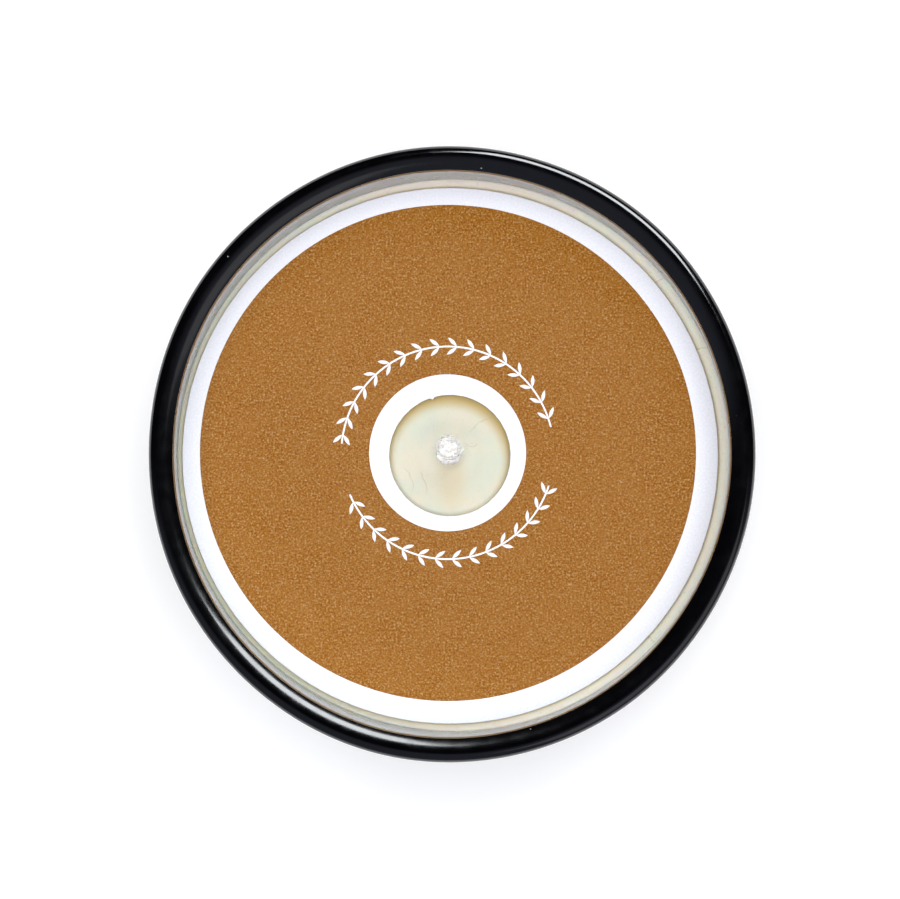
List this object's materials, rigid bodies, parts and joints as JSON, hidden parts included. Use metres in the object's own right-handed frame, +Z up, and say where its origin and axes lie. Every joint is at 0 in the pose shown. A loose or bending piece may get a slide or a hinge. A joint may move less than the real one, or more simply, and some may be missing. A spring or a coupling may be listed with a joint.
{
  "type": "candle tin",
  "caption": "Round metal candle tin with a curled rim, poured wax, a braided wick on its sustainer, and a lift-off card dust cover with a wick hole. Its lid is left off.",
  "frame": {"origin": "centre of the foot, on the plane that the tin stands on", "axes": "+Z up along the tin's axis; +X to the right and +Y away from a person reading the cover"},
  "size_m": [0.0794, 0.0794, 0.05],
  "materials": {
    "black_tinplate": "gloss black outside, bare plate inside",
    "soy_wax": "satin, slightly translucent",
    "cotton_braid": "waxed cotton braid",
    "cotton_core": "waxed cotton yarn",
    "zinc_plate": "bare plated steel",
    "white_foam": "matte",
    "white_card": "smooth matte",
    "kraft_paper": "matte, flecked with fibres",
    "white_paper": "matte"
  },
  "bodies": {
    "tin": {"tin_body": "black_tinplate", "wax_fill": "soy_wax", "wick_braid": "cotton_braid", "wick_core": "cotton_core", "wick_sustainer": "zinc_plate", "wick_sticker": "white_foam", "base_label": "white_paper"},
    "cover": {"dust_cover": "white_card", "cover_label": "kraft_paper"}
  },
  "joints": [
    {"name": "cover_lift", "type": "slide", "parent": "tin", "child": "cover", "axis": [0, 0, 1], "range_m": [0, 0.06]}
  ]
}
